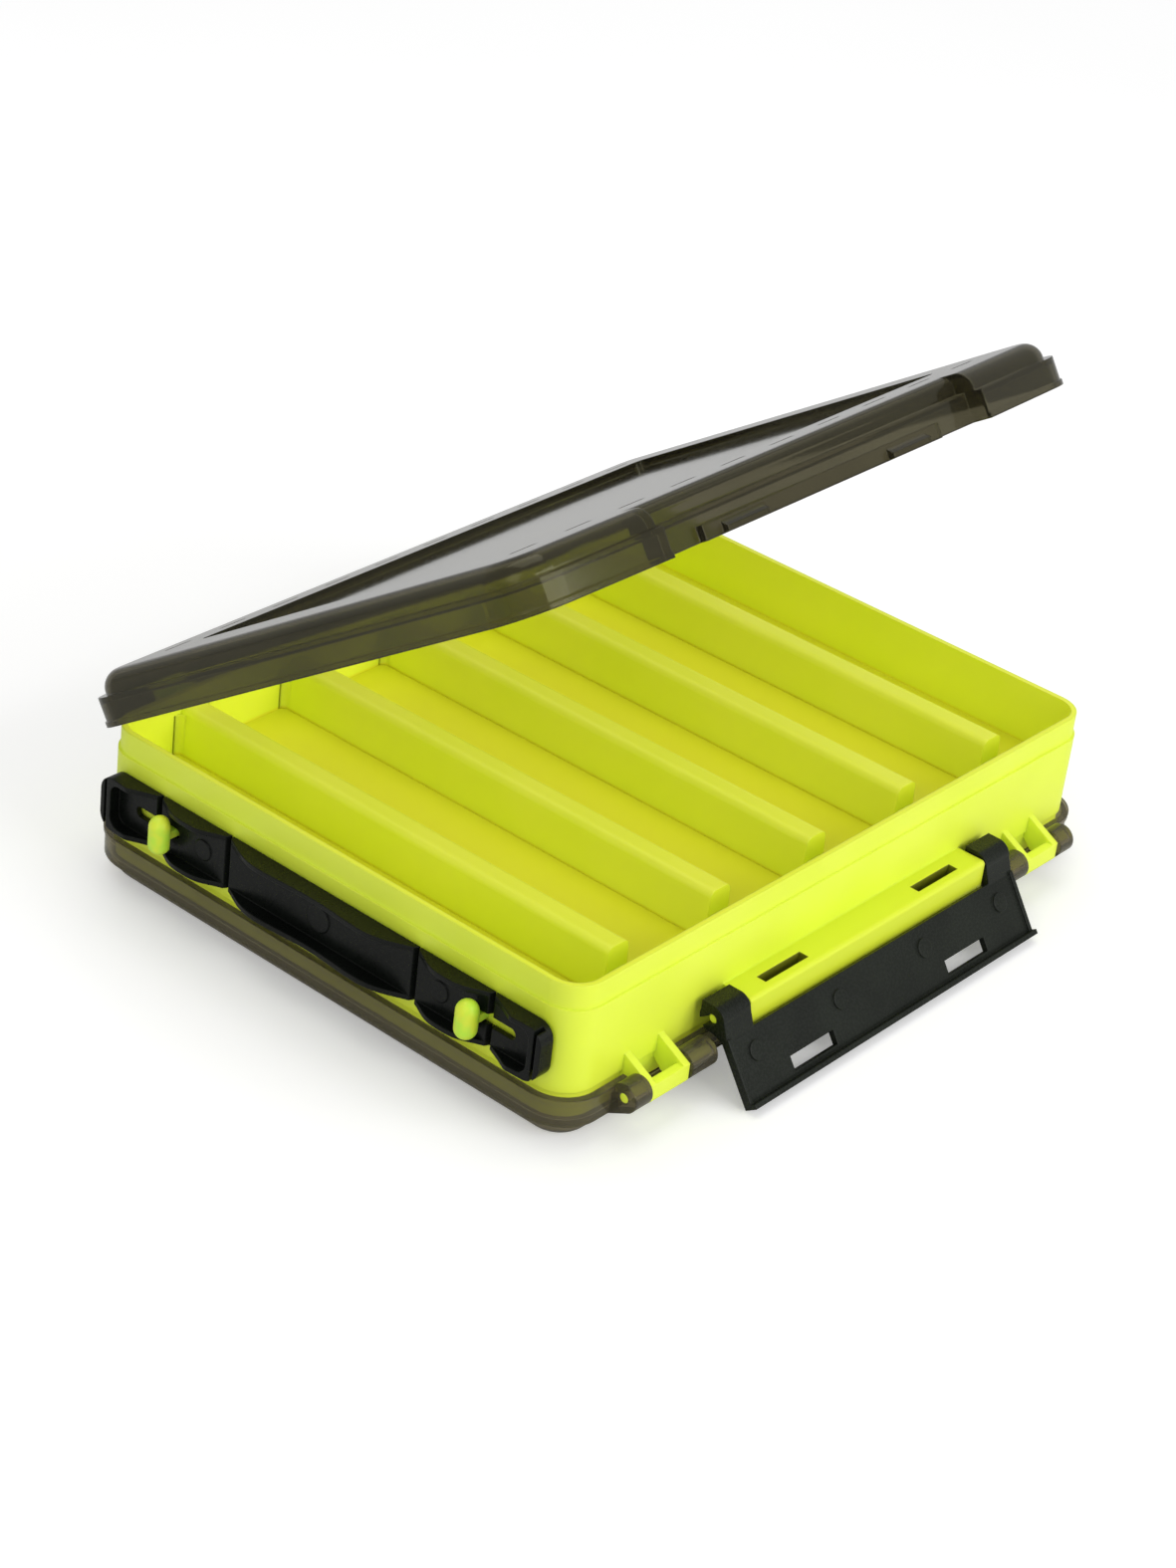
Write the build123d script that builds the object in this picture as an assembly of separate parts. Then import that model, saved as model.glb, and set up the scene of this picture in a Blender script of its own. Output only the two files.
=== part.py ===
from build123d import *
import math
import os

# Two-sided lure box: one tray with a mid floor, a hinged lid on each face, a latch for each lid
# and a strap handle on the short left wall.
# Millimetres. X runs along the long walls, Y from front to rear, Z up.
# The origin is the centre of the shut lower lid's underside, on the plane of its flat border.
# Everything on the lower face is the upper face turned half round about the long axis at mid height.

# Overall sizes
BODY_LENGTH = 195.0
BODY_WIDTH = 147.5
BOX_HEIGHT = 47.0
MID_HEIGHT = BOX_HEIGHT / 2

# Tray
WALL = 2.0
CORNER_RADIUS = 8.5
FLOOR_THICKNESS = 1.5
RIM_BAND_HEIGHT = 6.1
RIM_BAND_INSET = 0.55

# Lids
LID_HEIGHT = 12.25
SKIRT_HEIGHT = 7.15
LID_OVERHANG = 2.4
LID_WALL = 1.8
RIM_OVERLAP = 5.6
RIM_GAP = 0.15
SKIRT_LIP_HEIGHT = 1.3
SKIRT_LIP_PROUD = 0.4
FREE_CORNER_RADIUS = 13.5
FREE_CORNER_PROUD = 0.75
FREE_EDGE_PROUD = 4.35
DOME_INSET = 2.5
DOME_EDGE_RADIUS = 4.6
DOME_WALL = 1.3
PANEL_LENGTH = 158.4
PANEL_WIDTH = 103.6
PANEL_RADIUS = 2.5
PANEL_DEPTH = 2.0
GROOVE_COUNT = 10
GROOVE_PITCH = 17.55
GROOVE_PLACE = 60.0
GROOVE_LENGTH = 8.0
GROOVE_WIDTH = 1.0
GROOVE_DEPTH = 0.5
LID_OPEN_ANGLE = 33.8

# Lid hinges, one inner and one outer knuckle on each side of a lug
HINGE_BEYOND_SKIRT = 3.25
HINGE_ABOVE_SKIRT_EDGE = 1.2
HINGE_PIN_RADIUS = 1.2
PIN_CLEARANCE = 0.05
KNUCKLE_RADIUS = 3.6
KNUCKLE_WEB_ANGLE = 20.0
LUG_INNER = 65.2
LUG_OUTER = 78.7
LUG_RIB = 2.0
LUG_WALL_RISE = 6.1
LUG_ROOT = 2.0
LUG_BAR_RISE = 1.7
LUG_BAR_DROP = 2.6
LUG_BAR_THICKNESS = 2.2
KNUCKLE_SIDE_GAP = 0.25
INNER_KNUCKLE = 8.5
OUTER_KNUCKLE = 5.6
NOTCH_DEPTH = 4.8

# Ledge that carries a latch
LEDGE_BEYOND_SKIRT = 5.85
LEDGE_HALF_LENGTH = 45.2
LEDGE_EDGE_RADIUS = 1.0
LEDGE_LOW = 12.4
LEDGE_TOP = 20.8
LEDGE_SLOT_CENTRE = 29.2
LEDGE_SLOT_LENGTH = 15.6
LEDGE_SLOT_WIDTH = 2.5
LEDGE_SLOT_INSET = 2.5

# Latch, described in its shut position: along is up the wall, across is out from the pivot
PIVOT_BEYOND_SKIRT = 2.85
PIVOT_HEIGHT = 18.4
PIVOT_PIN_RADIUS = 1.2
PIN_SHORT_OF_CLIP = 0.6
LATCH_HALF_LENGTH = 55.1
LATCH_HANG_ANGLE = 146.0
LATCH_SIDE_GAP = 0.4
LATCH_START = 5.4
LATCH_REACH = 22.0
LATCH_PLATE_OFFSET = 0.4
LATCH_THICKNESS = 1.6
HOOD_RADIUS = 3.5
HOOD_DEPTH = 3.3
CLIP_MOUTH = 1.9
FLANGE_THICKNESS = 1.2
FLANGE_RISE = 1.8
WINDOW_LOW = 16.1
WINDOW_HIGH = 19.6
BOSS_RADIUS = 2.4
BOSS_RISE = 0.5
BOSS_PLACES = (16.4, 47.2)

# Catch on the free edge of a lid
CATCH_CENTRE = 29.75
CATCH_LENGTH = 14.5
CATCH_SIDE_CLEARANCE = 0.7
CATCH_HEIGHT = 2.55
CATCH_REACH = 3.5
CATCH_LIFT = 0.2
RECESS_HALF_LENGTH = 57.7
RECESS_DEPTH = 1.25
RECESS_WALL = 1.4
RECESS_STEP = 2.5
RECESS_EDGE_RADIUS = 3.0
RECESS_EDGE_FLATS = 5
LIP_HALF_LENGTH = 43.0
LIP_REACH = 1.8
LIP_HEIGHT = 3.6

# Dividers
DIVIDER_COUNT = 5
DIVIDER_PITCH = 35.5
DIVIDER_TOP_WIDTH = 7.0
DIVIDER_BASE_WIDTH = 8.0
DIVIDER_BELOW_RIM = 3.35
DIVIDER_SHELL = 1.4
DIVIDER_EDGE_RADIUS = 2.0
DIVIDER_STEP_LENGTH = 9.0
DIVIDER_STEP_DROP = 6.5
DIVIDER_FOOT_RADIUS = 1.8

# Strap handle
STRAP_GAP = 0.5
STRAP_PLATE = 1.4
STRAP_HEIGHT = 14.0
STRAP_FLANGE = 1.2
STRAP_CROWN = 3.3
GRIP_HALF_LENGTH = 29.4
LINK_END = 52.0
STRAP_END = 68.8
NOTCH_GAP = 0.15
NOTCH_ANGLE = 27.0
SLOT_START = 45.0
SLOT_END = 59.5
SLOT_HEIGHT = 2.8
STRAP_RAMP = 6.0
STRAP_RAMP_SHARE = 0.85
END_RADIUS = 4.0
END_WALL = 3.4
END_WALL_RISE = 2.8
END_LIP = 1.3
END_GROOVE = 0.8
GRIP_BOSS_RADIUS = 3.4
LINK_BOSS_RADIUS = 2.6
STRAP_BOSS_RISE = 0.3

# Pegs that hold the strap
PEG_PLACE = 48.2
PEG_HEAD_DIAMETER = 5.4
PEG_HEAD_HEIGHT = 9.9
PEG_HEAD_TOP = 7.9
PEG_HEAD_UNDERSIDE = 3.2
PEG_RELIEF_ANGLE = 22.0
PEG_NECK_LENGTH = 3.6
PEG_NECK_HEIGHT = 2.0

# Helps for drawing: how deep a piece is let into its neighbour before the two are joined, how far a
# cut runs past the surface it opens, and how close two points are to count as one
WELD = 0.5
CUT_MARGIN = 1.0
WELL_MARGIN = 5.0
SAME_PLACE = 0.05

# Places that follow from the sizes above
FRONT = -BODY_WIDTH / 2
REAR = BODY_WIDTH / 2
LEFT = -BODY_LENGTH / 2
SKIRT_EDGE = BOX_HEIGHT - LID_HEIGHT
SKIRT_TOP = SKIRT_EDGE + SKIRT_HEIGHT
RIM_TOP = SKIRT_EDGE + RIM_OVERLAP
RIM_BOTTOM = BOX_HEIGHT - RIM_TOP
FLOOR_TOP = MID_HEIGHT + FLOOR_THICKNESS / 2
LID_LENGTH = BODY_LENGTH + 2 * LID_OVERHANG
LID_RADIUS = CORNER_RADIUS + LID_OVERHANG
LID_FACE = REAR + LID_OVERHANG
LEDGE_REACH = LID_OVERHANG + LEDGE_BEYOND_SKIRT
UPPER_HINGE = (LID_FACE + HINGE_BEYOND_SKIRT, SKIRT_EDGE + HINGE_ABOVE_SKIRT_EDGE)
LATCH_PIVOT = (-LID_FACE - PIVOT_BEYOND_SKIRT, PIVOT_HEIGHT)
STRAP_BACK = LEFT - STRAP_GAP
STRAP_FACE = STRAP_BACK - STRAP_PLATE
STRAP_BASE = MID_HEIGHT - STRAP_HEIGHT / 2
STRAP_BEVEL = STRAP_PLATE * math.tan(math.radians(NOTCH_ANGLE))
TURN_AXIS = Axis((0, 0, MID_HEIGHT), (1, 0, 0))


def turned(shape):
    """The same piece on the other face of the box."""
    return shape.rotate(TURN_AXIS, 180)


def rounded_block(length, width, radius, low, high):
    """Upright block with rounded corners, centred on the origin."""
    return Pos(0, 0, low) * extrude(RectangleRounded(length, width, radius), high - low)


def yz_prism(points, x_from, x_to):
    """Block whose outline is drawn in the YZ plane and runs along X."""
    outline = Polyline(*[(x_from, y, z) for y, z in points], close=True)
    return extrude(make_face(outline), amount=x_to - x_from, dir=(1, 0, 0))


def x_rod(radius, place, x_from, x_to):
    """Round rod along X."""
    centre = ((x_from + x_to) / 2, place[0], place[1])
    return Pos(*centre) * Rot(0, 90, 0) * Cylinder(radius, abs(x_to - x_from))


def both_sides(shape):
    """The shape and its mirror image about the middle of the long walls."""
    return shape + mirror(shape, Plane.YZ)


def block(x_from, x_to, y_from, y_to, z_from, z_to):
    """Plain box between two corners."""
    size = (x_to - x_from, y_to - y_from, z_to - z_from)
    centre = ((x_from + x_to) / 2, (y_from + y_to) / 2, (z_from + z_to) / 2)
    return Pos(*centre) * Box(*size)


def tray_walls():
    """Outer walls and mid floor, with the stepped rim bands above and below."""
    band_length = BODY_LENGTH - 2 * RIM_BAND_INSET
    band_width = BODY_WIDTH - 2 * RIM_BAND_INSET
    band_radius = CORNER_RADIUS - RIM_BAND_INSET
    rims = rounded_block(band_length, band_width, band_radius, RIM_BOTTOM, RIM_TOP)
    middle = rounded_block(
        BODY_LENGTH, BODY_WIDTH, CORNER_RADIUS,
        RIM_BOTTOM + RIM_BAND_HEIGHT, RIM_TOP - RIM_BAND_HEIGHT,
    )
    well = rounded_block(
        BODY_LENGTH - 2 * WALL, BODY_WIDTH - 2 * WALL, CORNER_RADIUS - WALL,
        FLOOR_TOP, RIM_TOP + WELL_MARGIN,
    )
    return rims + middle - well - turned(well)


def front_ledge():
    """Ledge with two slots and a pivot stud at each end."""
    outer = FRONT - LEDGE_REACH
    ledge = block(
        -LEDGE_HALF_LENGTH, LEDGE_HALF_LENGTH, outer, FRONT, LEDGE_LOW, LEDGE_TOP,
    )
    outer_edges = ledge.edges().filter_by(Axis.X).group_by(Axis.Y)[0]
    ledge = fillet(outer_edges, LEDGE_EDGE_RADIUS)
    slot_face = outer + LEDGE_SLOT_INSET
    slot = block(
        LEDGE_SLOT_CENTRE - LEDGE_SLOT_LENGTH / 2, LEDGE_SLOT_CENTRE + LEDGE_SLOT_LENGTH / 2,
        slot_face, slot_face + LEDGE_SLOT_WIDTH, LEDGE_LOW - CUT_MARGIN, LEDGE_TOP + CUT_MARGIN,
    )
    stud_end = LATCH_HALF_LENGTH - PIN_SHORT_OF_CLIP
    stud = x_rod(PIVOT_PIN_RADIUS, LATCH_PIVOT, LEDGE_HALF_LENGTH - WELD, stud_end)
    return ledge - both_sides(slot) + both_sides(stud)


def front_lug():
    """Right-hand lug of the lower hinge: two sloping ribs, a bar and a pin out of each side."""
    y_axis, z_axis = -UPPER_HINGE[0], BOX_HEIGHT - UPPER_HINGE[1]
    outer = FRONT - LEDGE_REACH
    bottom = z_axis - LUG_BAR_DROP
    bar_top = z_axis + LUG_BAR_RISE
    band_face = FRONT + RIM_BAND_INSET
    band_top = RIM_BOTTOM + RIM_BAND_HEIGHT
    rib = [
        (FRONT, z_axis + LUG_WALL_RISE), (outer, bar_top), (outer, bottom),
        (FRONT - LUG_ROOT, bottom), (band_face, bottom + LUG_BAR_DROP),
        (band_face, band_top), (FRONT, band_top),
    ]
    inner_rib = yz_prism(rib, LUG_INNER, LUG_INNER + LUG_RIB)
    outer_rib = yz_prism(rib, LUG_OUTER - LUG_RIB, LUG_OUTER)
    bar = block(
        LUG_INNER + LUG_RIB, LUG_OUTER - LUG_RIB, outer, outer + LUG_BAR_THICKNESS, bottom, bar_top,
    )
    axis_place = (y_axis, z_axis)
    inner_pin = x_rod(HINGE_PIN_RADIUS, axis_place, LUG_INNER - INNER_KNUCKLE, LUG_INNER + LUG_RIB)
    outer_pin = x_rod(HINGE_PIN_RADIUS, axis_place, LUG_OUTER - LUG_RIB, LUG_OUTER + OUTER_KNUCKLE)
    return inner_rib + outer_rib + bar + inner_pin + outer_pin


def body_shell():
    """Tray with the ledges and hinge lugs of both faces."""
    front = front_ledge() + both_sides(front_lug())
    return tray_walls() + front + turned(front)


def divider_profile(base_width, top_width, low, high):
    """Cross-section of a divider, wider at its foot."""
    half_base = base_width / 2
    half_top = top_width / 2
    outline = Polyline(
        (-half_base, 0, low), (half_base, 0, low), (half_top, 0, high), (-half_top, 0, high),
        close=True,
    )
    return make_face(outline)


def divider_run(shrink, step, y_from, y_to):
    """Solid stretch of a divider; shrink takes the shell off it to give its square-edged hollow."""
    high = RIM_TOP - DIVIDER_BELOW_RIM - step - shrink
    share = step / (RIM_TOP - DIVIDER_BELOW_RIM - FLOOR_TOP)
    top_width = DIVIDER_TOP_WIDTH + share * (DIVIDER_BASE_WIDTH - DIVIDER_TOP_WIDTH)
    face = divider_profile(
        DIVIDER_BASE_WIDTH - 2 * shrink, top_width - 2 * shrink, FLOOR_TOP, high,
    )
    if shrink == 0:
        face = fillet(face.vertices().group_by(Axis.Z)[-1], DIVIDER_EDGE_RADIUS)
    return Pos(0, y_from, 0) * extrude(face, amount=y_to - y_from, dir=(0, 1, 0))


def divider_feet():
    """Two flared corners where a divider meets the rear wall."""
    inner_rear = REAR - WALL
    high = RIM_TOP - DIVIDER_BELOW_RIM - DIVIDER_EDGE_RADIUS
    root = DIVIDER_TOP_WIDTH / 2 - WELD
    tip = DIVIDER_BASE_WIDTH / 2 + DIVIDER_FOOT_RADIUS
    pad = block(root, tip, inner_rear - DIVIDER_FOOT_RADIUS, inner_rear, FLOOR_TOP, high)
    scoop = Pos(tip, inner_rear - DIVIDER_FOOT_RADIUS, MID_HEIGHT) * Cylinder(
        DIVIDER_FOOT_RADIUS, BOX_HEIGHT
    )
    return both_sides(pad - scoop)


def divider():
    """Hollow upper divider at the middle of the tray, with its low step at the front wall."""
    front = FRONT + WALL
    rear = REAR - WALL
    step_end = front + DIVIDER_STEP_LENGTH
    outer = divider_run(0, 0, step_end, rear) + divider_run(0, DIVIDER_STEP_DROP, front, step_end)
    hollow = divider_run(DIVIDER_SHELL, 0, step_end + DIVIDER_SHELL, rear - DIVIDER_SHELL)
    low_hollow = divider_run(
        DIVIDER_SHELL, DIVIDER_STEP_DROP, front + DIVIDER_SHELL, step_end + 2 * DIVIDER_SHELL,
    )
    return outer + divider_feet() - hollow - low_hollow


def divider_places():
    """X of each divider, from left to right."""
    middle = (DIVIDER_COUNT - 1) / 2
    return [(index - middle) * DIVIDER_PITCH for index in range(DIVIDER_COUNT)]


def lid_block(inset, low, high):
    """Upright block with the lid's plan, drawn in by inset from the edge of the skirt.

    The free edge stands proud at both ends of the latch recess, to lie level with the shut latch.
    """
    side = LID_LENGTH / 2 - inset
    rear = LID_FACE - inset
    corner = -LID_FACE - FREE_CORNER_PROUD + inset
    proud = -LID_FACE - FREE_EDGE_PROUD + inset
    outline = Polyline(
        (-side, rear), (-side, corner), (-RECESS_HALF_LENGTH, proud),
        (RECESS_HALF_LENGTH, proud), (side, corner), (side, rear),
        close=True,
    )
    face = make_face(outline)
    rear_corners = face.vertices().group_by(Axis.Y)[-1]
    face = fillet(rear_corners, LID_RADIUS - inset)
    free_corners = [v for v in face.vertices() if abs(v.Y - corner) < SAME_PLACE]
    face = fillet(free_corners, FREE_CORNER_RADIUS - inset)
    return Pos(0, 0, low) * extrude(face, amount=high - low, dir=(0, 0, 1))


def lid_outside():
    """Skirt with its bead, step and rounded dome."""
    bead = lid_block(0, SKIRT_EDGE, SKIRT_EDGE + SKIRT_LIP_HEIGHT)
    skirt = lid_block(SKIRT_LIP_PROUD, SKIRT_EDGE, SKIRT_TOP)
    dome = lid_block(DOME_INSET, SKIRT_TOP - WELD, BOX_HEIGHT)
    dome = fillet(dome.faces().sort_by(Axis.Z)[-1].edges(), DOME_EDGE_RADIUS)
    return bead + skirt + dome


def lid_inside():
    """Space under the lid: the skirt fits round the rim and the dome is hollow."""
    shelf = RIM_TOP + RIM_GAP
    skirt_room = lid_block(LID_WALL, SKIRT_EDGE - WELL_MARGIN, shelf)
    dome_room = lid_block(DOME_INSET + DOME_WALL, shelf - WELD, BOX_HEIGHT - DOME_WALL)
    ceiling = dome_room.faces().sort_by(Axis.Z)[-1].edges()
    dome_room = fillet(ceiling, DOME_EDGE_RADIUS - DOME_WALL)
    return skirt_room + dome_room


def panel_tray():
    """Sunken panel in the middle of the lid, with its own floor and walls."""
    return rounded_block(
        PANEL_LENGTH + 2 * DOME_WALL, PANEL_WIDTH + 2 * DOME_WALL, PANEL_RADIUS + DOME_WALL,
        BOX_HEIGHT - PANEL_DEPTH - DOME_WALL, BOX_HEIGHT - DOME_WALL / 2,
    )


def panel_sinking():
    """What is taken out of the top of the lid: the panel's hollow and two rows of short grooves."""
    hollow = rounded_block(
        PANEL_LENGTH, PANEL_WIDTH, PANEL_RADIUS, BOX_HEIGHT - PANEL_DEPTH, BOX_HEIGHT + CUT_MARGIN,
    )
    groove = Pos(0, 0, BOX_HEIGHT) * Box(GROOVE_LENGTH, GROOVE_WIDTH, 2 * GROOVE_DEPTH)
    rows = GridLocations(GROOVE_PITCH, 2 * GROOVE_PLACE, GROOVE_COUNT, 2)
    return hollow + [place * groove for place in rows]


def recess_outline(inward):
    """Points up the recessed front of a lid, moved in by its wall: upright, stepped and rounded."""
    face = -LID_FACE + RECESS_DEPTH + inward
    step = face + RECESS_STEP
    radius = RECESS_EDGE_RADIUS - inward
    top = BOX_HEIGHT - inward
    bend = SKIRT_TOP - inward
    points = [(face, SKIRT_EDGE), (face, bend), (step, bend)]
    for corner in range(RECESS_EDGE_FLATS + 1):
        turn = math.pi / 2 * corner / RECESS_EDGE_FLATS
        points.append((step + radius * (1 - math.cos(turn)), top - radius * (1 - math.sin(turn))))
    return points


def latch_recess():
    """What is taken out of the free edge of a lid to make room for the latch."""
    far = -LID_FACE - 2 * FREE_EDGE_PROUD
    face = -LID_FACE + RECESS_DEPTH
    low = SKIRT_EDGE - CUT_MARGIN
    high = BOX_HEIGHT + CUT_MARGIN
    points = [(far, low), (face, low)] + recess_outline(0)
    points += [(points[-1][0], high), (far, high)]
    return yz_prism(points, -RECESS_HALF_LENGTH, RECESS_HALF_LENGTH)


def recess_wall():
    """Wall that closes the lid behind the recess, with end cheeks."""
    outer = recess_outline(0)
    inner = recess_outline(RECESS_WALL)
    wall = yz_prism(outer + inner[::-1], -RECESS_HALF_LENGTH, RECESS_HALF_LENGTH)
    far = -LID_FACE - 2 * FREE_EDGE_PROUD
    beside = inner + [(inner[-1][0], BOX_HEIGHT), (far, BOX_HEIGHT), (far, SKIRT_EDGE)]
    cheek = yz_prism(beside, RECESS_HALF_LENGTH, RECESS_HALF_LENGTH + RECESS_WALL)
    return wall + both_sides(cheek & lid_outside())


def catch():
    """Bar along the foot of the recess with two ramped catches that enter the latch windows."""
    face = -LID_FACE + RECESS_DEPTH
    root = face + WELD
    lip = block(
        -LIP_HALF_LENGTH, LIP_HALF_LENGTH, face - LIP_REACH, root,
        SKIRT_EDGE, SKIRT_EDGE + LIP_HEIGHT,
    )
    low = SKIRT_EDGE + CATCH_LIFT
    high = low + CATCH_HEIGHT
    outer = face - CATCH_REACH
    ramp = [
        (root, low), (outer, low), (outer, low + CATCH_HEIGHT / 2),
        (outer + CATCH_REACH / 2, high), (root, high),
    ]
    start = CATCH_CENTRE - CATCH_LENGTH / 2
    tab = yz_prism(ramp, start, start + CATCH_LENGTH)
    return lip + both_sides(tab)


def knuckle(x_from, x_to):
    """Hinge knuckle with the web that carries it on the skirt."""
    y_axis, z_axis = UPPER_HINGE
    eye = x_rod(KNUCKLE_RADIUS, UPPER_HINGE, x_from, x_to)
    root = LID_FACE - LID_WALL + WELD
    lean = math.radians(KNUCKLE_WEB_ANGLE)
    web = yz_prism(
        [
            (root, z_axis), (root, SKIRT_TOP), (LID_FACE - SKIRT_LIP_PROUD, SKIRT_TOP),
            (y_axis + KNUCKLE_RADIUS * math.sin(lean), z_axis + KNUCKLE_RADIUS * math.cos(lean)),
            (y_axis, z_axis),
        ],
        x_from, x_to,
    )
    return eye + web


def lid_hinge_parts():
    """Right-hand pair of knuckles, the hole for the pins and the notch for the lug."""
    inner_end = LUG_INNER - KNUCKLE_SIDE_GAP
    outer_start = LUG_OUTER + KNUCKLE_SIDE_GAP
    knuckles = knuckle(inner_end - INNER_KNUCKLE, inner_end)
    knuckles += knuckle(outer_start, outer_start + OUTER_KNUCKLE)
    bore = x_rod(
        HINGE_PIN_RADIUS + PIN_CLEARANCE, UPPER_HINGE,
        inner_end - INNER_KNUCKLE - CUT_MARGIN, outer_start + OUTER_KNUCKLE + CUT_MARGIN,
    )
    notch = block(
        inner_end, outer_start, REAR + RIM_BAND_INSET, LID_FACE + KNUCKLE_RADIUS,
        SKIRT_EDGE - CUT_MARGIN, SKIRT_EDGE + NOTCH_DEPTH,
    )
    return knuckles, bore + notch


def shut_upper_lid():
    """The upper lid in its shut place."""
    knuckles, cuts = lid_hinge_parts()
    shell = lid_outside() - lid_inside() + panel_tray() - panel_sinking()
    shell = shell - latch_recess() + recess_wall() + catch()
    return shell + both_sides(knuckles) - both_sides(cuts)


def upper_lid_open():
    """The upper lid swung open about its rear hinge line."""
    hinge_line = Axis((0, UPPER_HINGE[0], UPPER_HINGE[1]), (1, 0, 0))
    return shut_upper_lid().rotate(hinge_line, -LID_OPEN_ANGLE)


def latch_point(along, across):
    """YZ place of a latch point: along runs up the wall, across runs towards the wall."""
    return (LATCH_PIVOT[0] + across, LATCH_PIVOT[1] + along)


def latch_block(x_from, x_to, along_from, along_to, across_from, across_to):
    """Box given in the latch's own directions."""
    y_from, z_from = latch_point(along_from, across_from)
    y_to, z_to = latch_point(along_to, across_to)
    return block(x_from, x_to, y_from, y_to, z_from, z_to)


def swung(latch, degrees):
    """The front latch turned about its studs."""
    pivot_line = Axis((0, LATCH_PIVOT[0], LATCH_PIVOT[1]), (1, 0, 0))
    return latch.rotate(pivot_line, degrees)


def latch_hood():
    """Right-hand clip round a pivot stud: flat on top while it hangs, its mouth towards the wall."""
    start = LEDGE_HALF_LENGTH + LATCH_SIDE_GAP
    eye = x_rod(HOOD_RADIUS, LATCH_PIVOT, start, LATCH_HALF_LENGTH)
    back = latch_block(start, LATCH_HALF_LENGTH, 0, HOOD_RADIUS, 0, HOOD_DEPTH)
    back = swung(back, -LATCH_HANG_ANGLE)
    plate_back = LATCH_PLATE_OFFSET + LATCH_THICKNESS
    arm_end = LATCH_START + WELD
    arm = yz_prism(
        [
            latch_point(0, -HOOD_RADIUS), latch_point(arm_end, LATCH_PLATE_OFFSET),
            latch_point(arm_end, plate_back), latch_point(0, HOOD_RADIUS),
        ],
        start, LATCH_HALF_LENGTH,
    )
    cut_start = start - CUT_MARGIN
    cut_end = LATCH_HALF_LENGTH + CUT_MARGIN
    bore = x_rod(PIVOT_PIN_RADIUS + PIN_CLEARANCE, LATCH_PIVOT, cut_start, cut_end)
    mouth = latch_block(cut_start, cut_end, -CLIP_MOUTH / 2, CLIP_MOUTH / 2, -2 * HOOD_RADIUS, 0)
    return eye + back + arm - bore - mouth


def shut_front_latch():
    """The front latch in its shut place over the free edge of the upper lid."""
    plate_back = LATCH_PLATE_OFFSET + LATCH_THICKNESS
    half = LATCH_HALF_LENGTH
    plate = latch_block(-half, half, LATCH_START, LATCH_REACH, LATCH_PLATE_OFFSET, plate_back)
    window_half = CATCH_LENGTH / 2 + CATCH_SIDE_CLEARANCE
    window = latch_block(
        CATCH_CENTRE - window_half, CATCH_CENTRE + window_half,
        WINDOW_LOW, WINDOW_HIGH, LATCH_PLATE_OFFSET - CUT_MARGIN, plate_back + CUT_MARGIN,
    )
    flange = latch_block(
        -half, half, LATCH_REACH - FLANGE_THICKNESS, LATCH_REACH,
        LATCH_PLATE_OFFSET, plate_back + FLANGE_RISE,
    )
    rib = latch_block(
        half - FLANGE_THICKNESS, half, LATCH_START, LATCH_REACH, plate_back, plate_back + BOSS_RISE,
    )
    latch = plate - both_sides(window) + flange + both_sides(rib) + both_sides(latch_hood())
    boss_y, boss_z = latch_point((WINDOW_LOW + LATCH_START) / 2, plate_back)
    for x_place in BOSS_PLACES:
        boss = Pos(x_place, boss_y, boss_z) * Rot(90, 0, 0) * Cylinder(BOSS_RADIUS, 2 * BOSS_RISE)
        latch += both_sides(boss)
    return latch


def strap_plate(y_from, y_to):
    """Back plate of one strap segment, its ends bevelled so that the notch can close."""
    low = y_from + NOTCH_GAP
    high = y_to - NOTCH_GAP
    outline = Polyline(
        (STRAP_BACK, low, 0), (STRAP_BACK, high, 0),
        (STRAP_FACE, high - STRAP_BEVEL, 0), (STRAP_FACE, low + STRAP_BEVEL, 0),
        close=True,
    )
    return Pos(0, 0, STRAP_BASE) * extrude(make_face(outline), amount=STRAP_HEIGHT, dir=(0, 0, 1))


def strap_rise(y_from, y_to):
    """Edge of a flange seen from above, from the notch at y_from up to its crest at y_to."""
    run = 1 if y_to > y_from else -1
    ramp = (STRAP_FACE - STRAP_RAMP_SHARE * STRAP_CROWN, y_from + run * STRAP_RAMP)
    return Spline(
        (STRAP_FACE, y_from), ramp, (STRAP_FACE - STRAP_CROWN, y_to),
        tangents=((-STRAP_RAMP_SHARE / 2, run), (0, run)),
    )


def strap_flanges(y_from, y_to):
    """Upper and lower edge flanges of a segment, low at the notches and crowned in the middle."""
    start = y_from + NOTCH_GAP + STRAP_BEVEL
    end = y_to - NOTCH_GAP - STRAP_BEVEL
    middle = (y_from + y_to) / 2
    foot = STRAP_FACE + WELD
    outline = strap_rise(start, middle) + strap_rise(end, middle)
    outline += Polyline((STRAP_FACE, start), (foot, start), (foot, end), (STRAP_FACE, end))
    flange = extrude(make_face(outline), amount=STRAP_FLANGE, dir=(0, 0, 1))
    top = STRAP_BASE + STRAP_HEIGHT - STRAP_FLANGE
    return Pos(0, 0, STRAP_BASE) * flange + Pos(0, 0, top) * flange


def strap_boss(y_place, radius):
    """Low round moulding mark on the face of a segment."""
    return Pos(STRAP_FACE, y_place, MID_HEIGHT) * Rot(0, 90, 0) * Cylinder(
        radius, 2 * STRAP_BOSS_RISE
    )


def strap_slot():
    """The long slot that the rear peg stands in; it crosses the notch."""
    length = SLOT_END - SLOT_START
    outline = SlotOverall(length, SLOT_HEIGHT)
    slot = extrude(Plane.YZ * outline, amount=2 * STRAP_CROWN, both=True)
    return Pos(STRAP_BACK, (SLOT_START + SLOT_END) / 2, MID_HEIGHT) * slot


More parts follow.
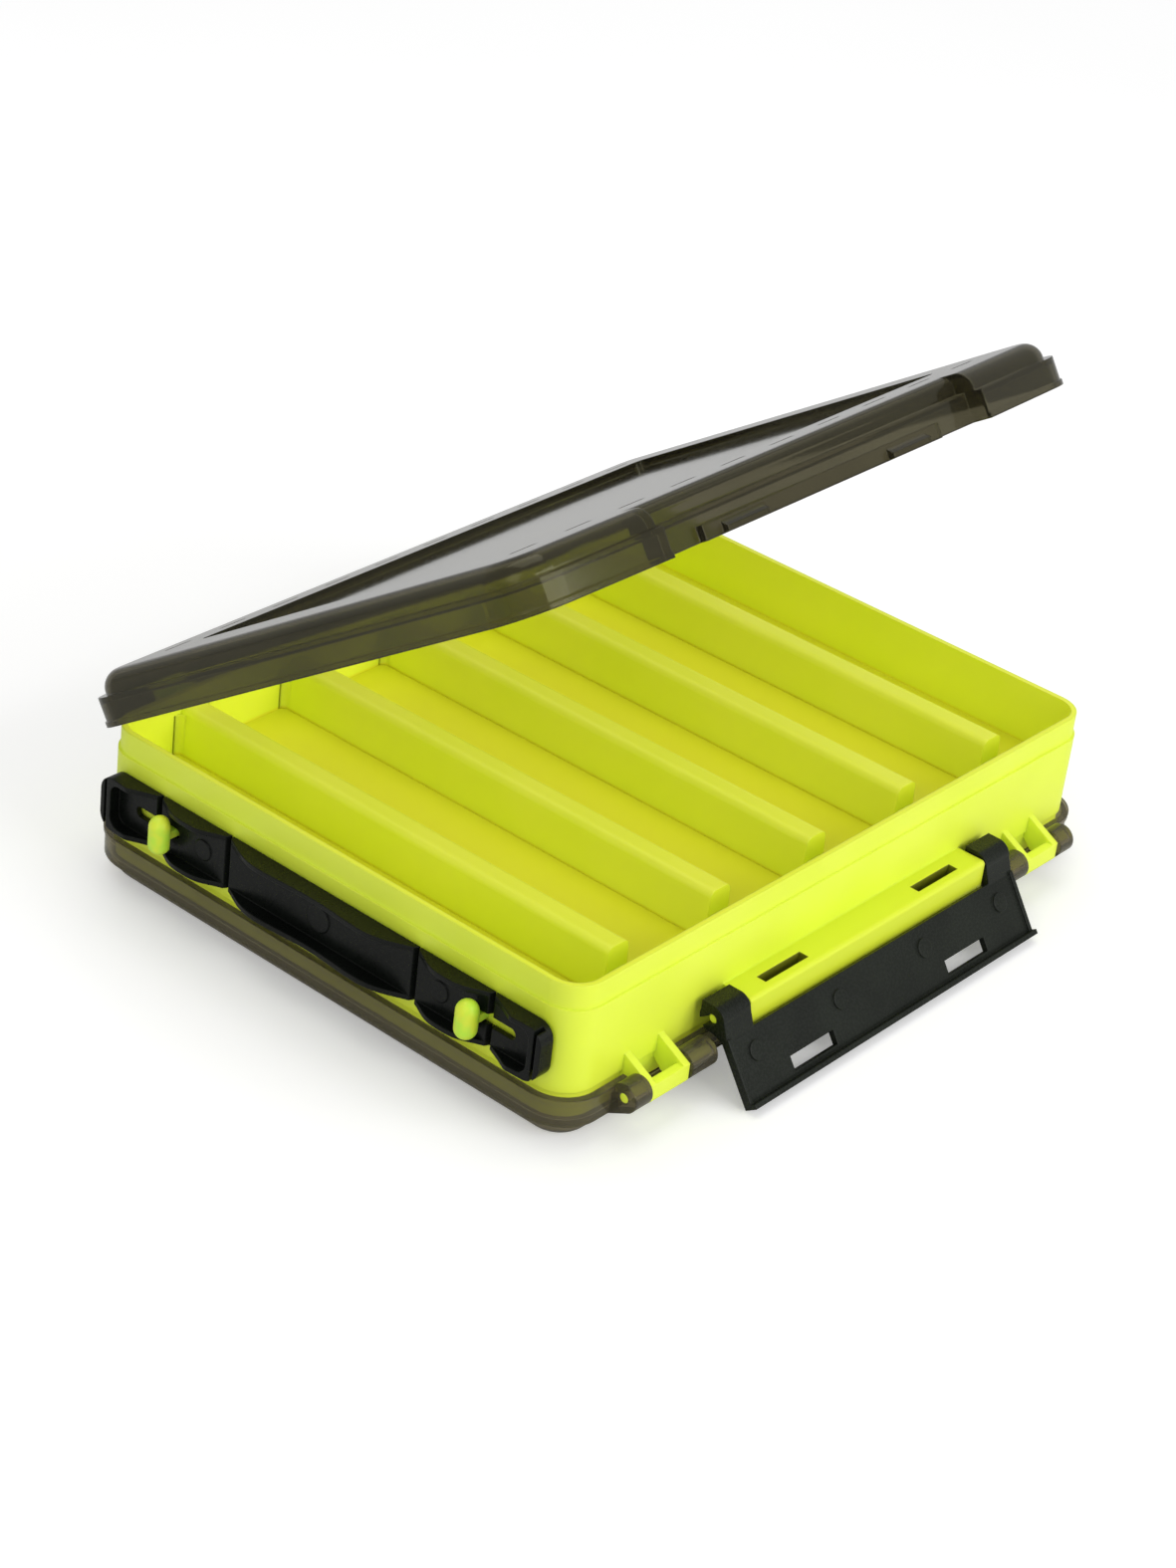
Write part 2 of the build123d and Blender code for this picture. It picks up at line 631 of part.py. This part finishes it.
def handle_grip():
    """Middle segment of the strap, pulled by the fingers."""
    half = GRIP_HALF_LENGTH
    return strap_plate(-half, half) + strap_flanges(-half, half) + strap_boss(0, GRIP_BOSS_RADIUS)


def handle_link():
    """Rear link between the grip and the slotted end."""
    link = strap_plate(GRIP_HALF_LENGTH, LINK_END) + strap_flanges(GRIP_HALF_LENGTH, LINK_END)
    boss_place = (GRIP_HALF_LENGTH + SLOT_START) / 2
    return link + strap_boss(boss_place, LINK_BOSS_RADIUS) - strap_slot()


def strap_tip(side_inset, end_inset, x_from, x_to):
    """Block along X with the round-cornered outline of the strap's far end, drawn in by the insets."""
    length = 2 * (STRAP_END - end_inset - LINK_END)
    height = STRAP_HEIGHT - 2 * side_inset
    outline = Plane.YZ * RectangleRounded(length, height, END_RADIUS - side_inset)
    return Pos(x_from, LINK_END, MID_HEIGHT) * extrude(outline, amount=x_to - x_from)


def handle_end():
    """Rear end of the strap: slotted, walled all round, with a groove that splits the end wall."""
    start = LINK_END + NOTCH_GAP + STRAP_BEVEL
    crest = (LINK_END + STRAP_END) / 2
    outer = STRAP_FACE - 2 * STRAP_CROWN
    outline = strap_rise(start, crest) + Polyline(
        (STRAP_FACE - STRAP_CROWN, crest), (STRAP_FACE - END_WALL_RISE, STRAP_END),
        (STRAP_BACK, STRAP_END), (STRAP_BACK, start), (STRAP_FACE, start),
    )
    solid = extrude(make_face(outline), amount=STRAP_HEIGHT, dir=(0, 0, 1))
    solid = Pos(0, 0, STRAP_BASE) * solid + strap_plate(LINK_END, STRAP_END)
    pocket = strap_tip(STRAP_FLANGE, END_WALL, outer, STRAP_FACE)
    groove_end = STRAP_END - END_LIP
    groove = block(
        outer, STRAP_FACE, groove_end - END_GROOVE, groove_end,
        STRAP_BASE - CUT_MARGIN, STRAP_BASE + STRAP_HEIGHT + CUT_MARGIN,
    )
    return (solid & strap_tip(0, 0, outer, STRAP_BACK)) - pocket - groove - strap_slot()


def handle_peg():
    """Rear peg: a flat neck on the wall and a capsule head, cut away where the strap lifts under it."""
    radius = PEG_HEAD_DIAMETER / 2
    axis_x = LEFT - PEG_HEAD_TOP + radius
    straight = PEG_HEAD_HEIGHT - PEG_HEAD_DIAMETER
    head = Cylinder(radius, straight)
    for side in (-1, 1):
        head += Pos(0, 0, side * straight / 2) * Sphere(radius)
    head = Pos(axis_x, PEG_PLACE, MID_HEIGHT) * head
    underside = LEFT - PEG_HEAD_UNDERSIDE
    reach = PEG_HEAD_DIAMETER
    lift = reach * math.tan(math.radians(PEG_RELIEF_ANGLE))
    strap_room = Polyline(
        (underside, PEG_PLACE + reach, 0), (underside, PEG_PLACE, 0),
        (underside - lift, PEG_PLACE - reach, 0), (LEFT, PEG_PLACE - reach, 0),
        (LEFT, PEG_PLACE + reach, 0),
        close=True,
    )
    room = extrude(make_face(strap_room), amount=BOX_HEIGHT, dir=(0, 0, 1))
    neck = block(
        axis_x, LEFT,
        PEG_PLACE - PEG_NECK_LENGTH / 2, PEG_PLACE + PEG_NECK_LENGTH / 2,
        MID_HEIGHT - PEG_NECK_HEIGHT / 2, MID_HEIGHT + PEG_NECK_HEIGHT / 2,
    )
    return head - room + neck


def save(name, shape):
    """Write one piece to its own file."""
    export_step(shape, f"parts/{name}.step")
    print(name, round(shape.volume, 1))


def main():
    os.makedirs("parts", exist_ok=True)
    save("body_shell", body_shell())
    one_divider = divider()
    for number, x_place in enumerate(divider_places(), start=1):
        upper = Pos(x_place, 0, 0) * one_divider
        save(f"upper_divider_{number}", upper)
        save(f"lower_divider_{number}", turned(upper))
    save("upper_lid", upper_lid_open())
    save("lower_lid", turned(shut_upper_lid()))
    save("front_latch", swung(shut_front_latch(), LATCH_HANG_ANGLE))
    save("rear_latch", turned(shut_front_latch()))
    save("handle_grip", handle_grip())
    for name, piece in (("link", handle_link()), ("end", handle_end()), ("peg", handle_peg())):
        save(f"handle_{name}_rear", piece)
        save(f"handle_{name}_front", mirror(piece, Plane.XZ))


main()
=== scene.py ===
import math

import bpy
from mathutils import Matrix, Vector


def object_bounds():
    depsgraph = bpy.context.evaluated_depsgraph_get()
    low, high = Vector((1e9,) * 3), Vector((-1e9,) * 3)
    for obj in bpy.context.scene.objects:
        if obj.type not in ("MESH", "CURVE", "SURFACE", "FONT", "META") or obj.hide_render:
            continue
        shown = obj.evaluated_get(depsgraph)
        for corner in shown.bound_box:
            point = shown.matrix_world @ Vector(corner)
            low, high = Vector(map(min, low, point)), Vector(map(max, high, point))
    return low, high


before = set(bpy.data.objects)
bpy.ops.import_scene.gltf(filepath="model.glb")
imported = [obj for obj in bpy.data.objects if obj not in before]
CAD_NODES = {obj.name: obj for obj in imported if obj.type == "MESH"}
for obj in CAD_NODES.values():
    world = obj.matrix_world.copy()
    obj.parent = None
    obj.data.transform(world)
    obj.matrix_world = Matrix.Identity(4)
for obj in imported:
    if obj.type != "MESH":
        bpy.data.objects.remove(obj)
cad_low, cad_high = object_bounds()

# Camera: angles in degrees, focal length in pixels of the photograph's width, place in millimetres,
# and the nearest and furthest it sees in metres
PHOTO_WIDTH = 1181
SENSOR_MM = 36.0
CAMERA_AZIMUTH = -52.62
CAMERA_ELEVATION = 30.51
CAMERA_ROLL = 7.12
CAMERA_FOCAL_PX = 3507.5
CAMERA_SIDE_MM = -2.11
CAMERA_UP_MM = 17.92
CAMERA_BACK_MM = 860.57
CAMERA_CLIP = (0.01, 50.0)

# Studio: each lamp's name, place and size in metres, and power in watts, the point that all face,
# and the sky's strength as a light and as the camera sees it
LAMPS = (
    ("key", (0.25, -1.5, 0.75), (1.4, 1.0), 15.5),
    ("fill", (-1.3, -0.4, 0.9), (0.8, 0.8), 3.0),
    ("top", (0.1, 0.4, 1.5), (1.2, 1.2), 6.6),
)
LAMP_TARGET = (0.0, 0.0, 0.03)
SKY_LIGHT = 0.5
SKY_SEEN = 1.0

# Studio floor: half its side and its drop below the box in metres, its greys, and its grey where
# the box mirrors it
STUDIO_HALF_SIDE = 6.0
STUDIO_DROP = 0.0001
STUDIO_GREY = (0.80, 0.80, 0.80)
STUDIO_GREY_PALE = (0.82, 0.82, 0.82)
STUDIO_CLOUD = (3.0, 2.0)
STUDIO_GREY_MIRRORED = (0.68, 0.68, 0.68)

# The studio floor's glow near the box and far away, and the distances in metres between which it
# rises
GLOW_NEAR = 0.30
GLOW_FAR = 0.62
GLOW_NEAR_REACH = 0.7
GLOW_FAR_REACH = 2.4

# Yellows as display colours, 0 to 255. The outer yellows are the plastic's own; the rest paint
# light and shade into it.
OUTER_YELLOW = (226, 244, 62)
OUTER_YELLOW_PALE = (231, 248, 74)
# Compartments: painted light, brighter than the outer yellow
INNER_LIT_YELLOW = (239, 254, 62)
INNER_LIT_YELLOW_PALE = (244, 255, 72)
# Compartments' floor: painted shade, more golden than the yellow around it
TRAY_FLOOR_SHADE_YELLOW = (238, 238, 48)
# Ledges: painted shadow of the lid, darker than the outer yellow
LEDGE_SHADOW_YELLOW = (218, 232, 50)
# Ledges' slots: dark olive painted shade
SLOT_SHADE_YELLOW = (112, 116, 22)
# Pegs: painted shade, greener than the outer yellow
PEG_SHADE_YELLOW = (192, 244, 66)

# Every noise is given by its scale per metre, its detail and, where it isn't the usual half, its
# roughness. Every relief is given by its strength and its depth in metres.

# Yellow plastic: clouds of colour, gloss, and how far light travels inside it
YELLOW_CLOUD = (28.0, 2.0)
PEG_CLOUD = (220.0, 2.0)
YELLOW_GRAIN = (2600.0, 2.0, 0.6)
YELLOW_GRAIN_SHARE = 0.25
YELLOW_WAVES = (160.0, 1.0)
YELLOW_RELIEF = (0.12, 0.0002)
YELLOW_ROUGHNESS = (0.36, 0.46)
YELLOW_IOR = 1.49
YELLOW_SCATTER = 0.3
YELLOW_SCATTER_RADIUS = (1.0, 1.1, 0.25)
YELLOW_SCATTER_REACH = 0.003

# Tray in metres: outer half length and width, corner radius, wall, and the heights between which
# its floor lies
TRAY_HALF_LENGTH = 0.0975
TRAY_HALF_WIDTH = 0.07375
TRAY_CORNER = 0.0085
TRAY_WALL = 0.002
TRAY_FLOOR_LOW = 0.0222
TRAY_FLOOR_HIGH = 0.0248

# Ledges on the long walls, in metres: half length, the wall's face, and their slots' middles and
# half sizes
LEDGE_HALF_LENGTH = 0.0454
LEDGE_START = 0.0740
SLOT_MIDDLE_X = 0.0292
SLOT_MIDDLE_Y = 0.07825
SLOT_HALF_LENGTH = 0.0079
SLOT_HALF_WIDTH = 0.00135

# Widths of the soft changes between yellows and painted shades, in metres
WALL_BLUR = 0.0003
TRAY_FLOOR_BLUR = 0.0004
LEDGE_BLUR = 0.0002
SLOT_BLUR = 0.00005

# Smoky plastic: tints from 0 to 1, and its absorption per metre
UPPER_SMOKE = (0.115, 0.107, 0.070)
UPPER_SMOKE_PALE = (0.145, 0.135, 0.088)
LOWER_SMOKE = (0.34, 0.31, 0.22)
LOWER_SMOKE_PALE = (0.38, 0.35, 0.25)
SMOKE_GLOSS = (1.0, 0.97, 0.66)
SMOKE_LIGHT = (0.96, 0.96, 0.95)
SMOKE_RIPPLE = (22.0, 1.0)
SMOKE_RELIEF = (0.25, 0.0004)
SMOKE_GRAIN = (900.0, 2.0)
SMOKE_ROUGHNESS = (0.06, 0.09)
SMOKE_IOR = 1.36
SMOKE_CLEARNESS = 0.86
SMOKE_COLOUR = (0.38, 0.31, 0.08)
SMOKE_DENSITY = 300.0

# Black plastics: colours from 0 to 1, and how much paler their clouds are
LATCH_BLACK = (0.008, 0.010, 0.007)
LATCH_ROUGHNESS = (0.22, 0.32)
LATCH_GRAIN = (1400.0, 3.0, 0.6)
STRAP_BLACK = (0.003, 0.004, 0.003)
STRAP_ROUGHNESS = (0.26, 0.38)
STRAP_GRAIN = (1000.0, 3.0, 0.6)
BLACK_CLOUD = (60.0, 2.0)
BLACK_PALE = 1.5
BLACK_RELIEF = (0.2, 0.00008)
BLACK_IOR = 1.5
BLACK_SPECULAR = 0.18

# Radii in metres by which the shading rounds sharp edges, on solid and on clear plastic
SOLID_EDGE = 0.0004
CLEAR_EDGE = 0.0005
EDGE_SAMPLES = 8

# Noise values between which a cloud or grain goes from one end to the other
NOISE_LOW = 0.3
NOISE_HIGH = 0.7

# Sockets of the Mix node in its colour mode, where their names aren't enough to tell them apart
MIX_FACTOR = 0
MIX_FIRST = 6
MIX_SECOND = 7
MIX_RESULT = 2


def make_camera():
    """Camera that looks at the box from the photograph's viewing angle."""
    angles = (CAMERA_AZIMUTH, CAMERA_ELEVATION, CAMERA_ROLL)
    azimuth, elevation, roll = (math.radians(angle) for angle in angles)
    back = Vector((
        math.sin(azimuth) * math.cos(elevation),
        -math.cos(azimuth) * math.cos(elevation),
        math.sin(elevation),
    ))
    level = Vector((math.cos(azimuth), math.sin(azimuth), 0.0))
    upright = back.cross(level)
    right = level * math.cos(roll) + upright * math.sin(roll)
    up = upright * math.cos(roll) - level * math.sin(roll)
    place = (back * CAMERA_BACK_MM + right * CAMERA_SIDE_MM + up * CAMERA_UP_MM) / 1000
    data = bpy.data.cameras.new("camera")
    data.sensor_fit = "HORIZONTAL"
    data.sensor_width = SENSOR_MM
    data.lens = CAMERA_FOCAL_PX * SENSOR_MM / PHOTO_WIDTH
    data.clip_start, data.clip_end = CAMERA_CLIP
    camera = bpy.data.objects.new("camera", data)
    bpy.context.scene.collection.objects.link(camera)
    rows = Matrix((right, up, back)).transposed().to_4x4()
    camera.matrix_world = Matrix.Translation(place) @ rows
    bpy.context.scene.camera = camera


def area_lamp(name, place, size, power):
    """Rectangular lamp that faces the box."""
    data = bpy.data.lights.new(name, "AREA")
    data.shape = "RECTANGLE"
    data.size, data.size_y = size
    data.energy = power
    lamp = bpy.data.objects.new(name, data)
    bpy.context.scene.collection.objects.link(lamp)
    lamp.location = place
    aim = Vector(LAMP_TARGET) - Vector(place)
    lamp.rotation_euler = aim.to_track_quat("-Z", "Y").to_euler()


class ShadingTree:
    """Short way to write the node tree of a material or of the world."""

    def __init__(self, node_tree):
        self.node_tree = node_tree
        node_tree.nodes.clear()

    def put(self, value, socket):
        """Link the socket to another node's, or set it to a plain value."""
        if isinstance(value, bpy.types.NodeSocket):
            self.node_tree.links.new(value, socket)
        else:
            socket.default_value = value

    def add(self, kind, inputs=(), **settings):
        """A new node with these inputs, each a socket or a plain value, and these settings."""
        node = self.node_tree.nodes.new(kind)
        for name, value in settings.items():
            setattr(node, name, value)
        for name, value in dict(inputs).items():
            self.put(value, node.inputs[name])
        return node

    def object_place(self):
        return self.add("ShaderNodeTexCoord").outputs["Object"]

    def noise(self, scale, detail, roughness=0.5):
        return self.add("ShaderNodeTexNoise", {
            "Vector": self.object_place(), "Scale": scale, "Detail": detail, "Roughness": roughness,
        }).outputs["Fac"]

    def spread(self, value, low, high, from_low=NOISE_LOW, from_high=NOISE_HIGH):
        """The value between two limits, eased."""
        return self.add("ShaderNodeMapRange", {
            "Value": value,
            "From Min": from_low,
            "From Max": from_high,
            "To Min": low,
            "To Max": high,
        }, interpolation_type="SMOOTHSTEP").outputs["Result"]

    def step_down(self, value, edge, blur):
        """One below the edge, nought above it, with a soft change over blur."""
        return self.spread(value, 1.0, 0.0, edge - blur, edge + blur)

    def near_to(self, value, middle, half, blur):
        """One where the value lies within half of the middle."""
        away = self.math("ABSOLUTE", self.math("SUBTRACT", value, middle))
        return self.step_down(away, half, blur)

    def blend_colours(self, factor, first, second):
        """First colour at factor nought, second at one; each is a socket or three numbers."""
        node = self.add("ShaderNodeMix", data_type="RGBA")
        self.put(factor, node.inputs[MIX_FACTOR])
        for index, colour in ((MIX_FIRST, first), (MIX_SECOND, second)):
            linked = isinstance(colour, bpy.types.NodeSocket)
            self.put(colour if linked else (*colour, 1.0), node.inputs[index])
        return node.outputs[MIX_RESULT]

    def mottle(self, factor, first, second):
        """Two close colours in soft clouds."""
        return self.blend_colours(self.spread(factor, 0.0, 1.0), first, second)

    def math(self, operation, first, second=0.0, clamp=False):
        node = self.add("ShaderNodeMath", operation=operation, use_clamp=clamp)
        self.put(first, node.inputs[0])
        self.put(second, node.inputs[1])
        return node.outputs[0]

    def seen(self, path):
        """One for camera rays, straight or through clear plastic; path holds the ray kinds."""
        return self.math("ADD", path["Is Camera Ray"], path["Is Transmission Ray"], clamp=True)

    def bump(self, height, relief, edge_radius):
        """Normal with a fine relief and with the CAD mesh's sharp edges rounded."""
        strength, depth = relief
        rounded = self.add("ShaderNodeBevel", {"Radius": edge_radius}, samples=EDGE_SAMPLES)
        return self.add("ShaderNodeBump", {
            "Height": height, "Strength": strength, "Distance": depth, "Normal": rounded.outputs[0],
        }).outputs[0]

    def finish(self, surface, **others):
        """Make these the material's surface and, where it has one, its volume."""
        self.add("ShaderNodeOutputMaterial", {"Surface": surface, **others})


def new_material(name):
    """A material and the tree that shades it."""
    material = bpy.data.materials.new(name)
    material.use_nodes = True
    return material, ShadingTree(material.node_tree)


def linear(display):
    """Scene colour of a display colour given from 0 to 255, by the sRGB curve."""
    def channel(value):
        value /= 255
        return value / 12.92 if value <= 0.04045 else ((value + 0.055) / 1.055) ** 2.4
    return tuple(channel(value) for value in display)


def in_compartments(tree, across, out):
    """One on all that lies inside the middle of the tray's wall, nought on its outer faces."""
    past_x = tree.math("SUBTRACT", across, TRAY_HALF_LENGTH - TRAY_CORNER)
    past_y = tree.math("SUBTRACT", out, TRAY_HALF_WIDTH - TRAY_CORNER)
    corner_x = tree.math("MAXIMUM", past_x, 0.0)
    corner_y = tree.math("MAXIMUM", past_y, 0.0)
    square_x = tree.math("MULTIPLY", corner_x, corner_x)
    square_y = tree.math("MULTIPLY", corner_y, corner_y)
    reach = tree.math("SQRT", tree.math("ADD", square_x, square_y))
    return tree.step_down(reach, TRAY_CORNER - TRAY_WALL / 2, WALL_BLUR)


def on_ledges(tree, across, out):
    """One on the two ledges of the long walls."""
    beyond_wall = tree.math("SUBTRACT", 1.0, tree.step_down(out, LEDGE_START, LEDGE_BLUR))
    along_wall = tree.step_down(across, LEDGE_HALF_LENGTH, LEDGE_BLUR)
    return tree.math("MULTIPLY", beyond_wall, along_wall)


def in_ledge_slots(tree, across, out):
    """One on the walls of the ledges' slots."""
    in_length = tree.near_to(across, SLOT_MIDDLE_X, SLOT_HALF_LENGTH, SLOT_BLUR)
    in_width = tree.near_to(out, SLOT_MIDDLE_Y, SLOT_HALF_WIDTH, SLOT_BLUR)
    return tree.math("MULTIPLY", in_length, in_width)


def translucent_yellow(tree, colour):
    """Satin shader that lets a little light in, with a faint grain and waviness."""
    grain = tree.noise(*YELLOW_GRAIN)
    waves = tree.noise(*YELLOW_WAVES)
    height = tree.math("ADD", tree.math("MULTIPLY", grain, YELLOW_GRAIN_SHARE), waves)
    return tree.add("ShaderNodeBsdfPrincipled", {
        "Base Color": colour,
        "Roughness": tree.spread(grain, *YELLOW_ROUGHNESS),
        "Normal": tree.bump(height, YELLOW_RELIEF, SOLID_EDGE),
        "IOR": YELLOW_IOR,
        "Subsurface Weight": YELLOW_SCATTER,
        "Subsurface Radius": YELLOW_SCATTER_RADIUS,
        "Subsurface Scale": YELLOW_SCATTER_REACH,
    }).outputs[0]


def tray_plastic():
    """Fluorescent yellow, greener outside, with painted light and shade: brighter and more golden
    in the compartments, more golden on their floor, darker on the ledges and in their slots.
    """
    material, tree = new_material("fluorescent_yellow_painted_light")
    place = tree.add("ShaderNodeSeparateXYZ", {"Vector": tree.object_place()}).outputs
    across = tree.math("ABSOLUTE", place["X"])
    out = tree.math("ABSOLUTE", place["Y"])
    inside = in_compartments(tree, across, out)
    floor_middle = (TRAY_FLOOR_LOW + TRAY_FLOOR_HIGH) / 2
    floor_half = TRAY_FLOOR_HIGH - floor_middle
    at_floor = tree.near_to(place["Z"], floor_middle, floor_half, TRAY_FLOOR_BLUR)
    cloud = tree.noise(*YELLOW_CLOUD)
    outer = tree.mottle(cloud, linear(OUTER_YELLOW), linear(OUTER_YELLOW_PALE))
    # The compartments get a brighter yellow: painted light
    inner_lit = tree.mottle(cloud, linear(INNER_LIT_YELLOW), linear(INNER_LIT_YELLOW_PALE))
    colour = tree.blend_colours(inside, outer, inner_lit)
    # Painted shade on the compartments' floor, painted shadow on the ledges, dark painted shade in
    # their slots
    for where, yellow in (
        (tree.math("MULTIPLY", inside, at_floor), TRAY_FLOOR_SHADE_YELLOW),
        (on_ledges(tree, across, out), LEDGE_SHADOW_YELLOW),
        (in_ledge_slots(tree, across, out), SLOT_SHADE_YELLOW),
    ):
        colour = tree.blend_colours(where, colour, linear(yellow))
    tree.finish(translucent_yellow(tree, colour))
    return material


def peg_shaded_plastic():
    """Outer yellow in fine clouds with a greener painted shade, on the pegs that hold the strap."""
    material, tree = new_material("peg_yellow_painted_shade")
    colour = tree.mottle(tree.noise(*PEG_CLOUD), linear(PEG_SHADE_YELLOW), linear(OUTER_YELLOW))
    tree.finish(translucent_yellow(tree, colour))
    return material


def smoky_plastic(name, tint, tint_pale):
    """Clear smoky olive plastic that darkens with thickness; light still falls through it."""
    material, tree = new_material(name)
    ripple = tree.noise(*SMOKE_RIPPLE)
    glass = tree.add("ShaderNodeBsdfPrincipled", {
        "Base Color": tree.mottle(ripple, tint, tint_pale),
        "Roughness": tree.spread(tree.noise(*SMOKE_GRAIN), *SMOKE_ROUGHNESS),
        "Normal": tree.bump(ripple, SMOKE_RELIEF, CLEAR_EDGE),
        "IOR": SMOKE_IOR,
        "Specular Tint": (*SMOKE_GLOSS, 1.0),
        "Transmission Weight": SMOKE_CLEARNESS,
    })
    path = tree.add("ShaderNodeLightPath").outputs
    lighting = tree.math("ADD", path["Is Shadow Ray"], path["Is Diffuse Ray"], clamp=True)
    clear = tree.add("ShaderNodeBsdfTransparent", {"Color": (*SMOKE_LIGHT, 1.0)})
    surface = tree.add("ShaderNodeMixShader", {"Fac": lighting})
    tree.put(glass.outputs[0], surface.inputs[1])
    tree.put(clear.outputs[0], surface.inputs[2])
    volume = tree.add("ShaderNodeVolumeAbsorption", {
        "Color": (*SMOKE_COLOUR, 1.0), "Density": SMOKE_DENSITY,
    })
    tree.finish(surface.outputs[0], Volume=volume.outputs[0])
    return material


def black_plastic(name, colour, roughness, grain_noise):
    """Satin black with a fine moulded grain."""
    material, tree = new_material(name)
    grain = tree.noise(*grain_noise)
    pale = tuple(BLACK_PALE * channel for channel in colour)
    shader = tree.add("ShaderNodeBsdfPrincipled", {
        "Base Color": tree.mottle(tree.noise(*BLACK_CLOUD), colour, pale),
        "Roughness": tree.spread(grain, *roughness),
        "Normal": tree.bump(grain, BLACK_RELIEF, SOLID_EDGE),
        "IOR": BLACK_IOR,
        "Specular IOR Level": BLACK_SPECULAR,
    })
    tree.finish(shader.outputs[0])
    return material


def floor_material():
    """Pale matt card that glows for the camera, more so far away, where the lamps don't reach."""
    material, tree = new_material("studio_floor")
    path = tree.add("ShaderNodeLightPath").outputs
    grey = tree.mottle(tree.noise(*STUDIO_CLOUD), STUDIO_GREY, STUDIO_GREY_PALE)
    card = tree.add("ShaderNodeBsdfDiffuse", {
        "Color": tree.blend_colours(path["Is Glossy Ray"], grey, STUDIO_GREY_MIRRORED),
    })
    away = tree.add("ShaderNodeVectorMath", {0: tree.object_place()}, operation="LENGTH")
    distance = away.outputs["Value"]
    strength = tree.spread(distance, GLOW_NEAR, GLOW_FAR, GLOW_NEAR_REACH, GLOW_FAR_REACH)
    glow = tree.add("ShaderNodeEmission", {
        "Color": (1, 1, 1, 1), "Strength": tree.math("MULTIPLY", tree.seen(path), strength),
    })
    both = tree.add("ShaderNodeAddShader")
    tree.put(card.outputs[0], both.inputs[0])
    tree.put(glow.outputs[0], both.inputs[1])
    tree.finish(both.outputs[0])
    return material


def make_floor():
    """Wide level floor just under the box."""
    half = STUDIO_HALF_SIDE
    corners = [(-half, -half, 0), (half, -half, 0), (half, half, 0), (-half, half, 0)]
    mesh = bpy.data.meshes.new("studio_floor")
    mesh.from_pydata(corners, [], [(0, 1, 2, 3)])
    mesh.materials.append(floor_material())
    floor = bpy.data.objects.new("studio_floor", mesh)
    bpy.context.scene.collection.objects.link(floor)
    floor.location.z = cad_low[2] - STUDIO_DROP


def make_world():
    """Even white sky, brighter to the eye than as a light."""
    world = bpy.data.worlds.new("studio")
    bpy.context.scene.world = world
    world.use_nodes = True
    tree = ShadingTree(world.node_tree)
    seen = tree.seen(tree.add("ShaderNodeLightPath").outputs)
    strength = tree.add("ShaderNodeMapRange", {
        "Value": seen, "To Min": SKY_LIGHT, "To Max": SKY_SEEN,
    }).outputs["Result"]
    back = tree.add("ShaderNodeBackground", {"Color": (1, 1, 1, 1), "Strength": strength})
    tree.add("ShaderNodeOutputWorld", {"Surface": back.outputs[0]})


def dress(material, *beginnings):
    """Give the material to every node whose name has one of these beginnings."""
    for name, node in CAD_NODES.items():
        if name.startswith(beginnings):
            for slot in node.material_slots:
                slot.material = material


make_camera()
make_world()
for lamp in LAMPS:
    area_lamp(*lamp)
make_floor()
bpy.context.scene.view_settings.view_transform = "Standard"

dress(tray_plastic(), "body_shell", "upper_divider", "lower_divider")
dress(peg_shaded_plastic(), "handle_peg")
dress(smoky_plastic("smoky_upper", UPPER_SMOKE, UPPER_SMOKE_PALE), "upper_lid")
dress(smoky_plastic("smoky_lower", LOWER_SMOKE, LOWER_SMOKE_PALE), "lower_lid")
dress(black_plastic("black_latch", LATCH_BLACK, LATCH_ROUGHNESS, LATCH_GRAIN),
      "front_latch", "rear_latch")
dress(black_plastic("black_strap", STRAP_BLACK, STRAP_ROUGHNESS, STRAP_GRAIN),
      "handle_grip", "handle_link", "handle_end")
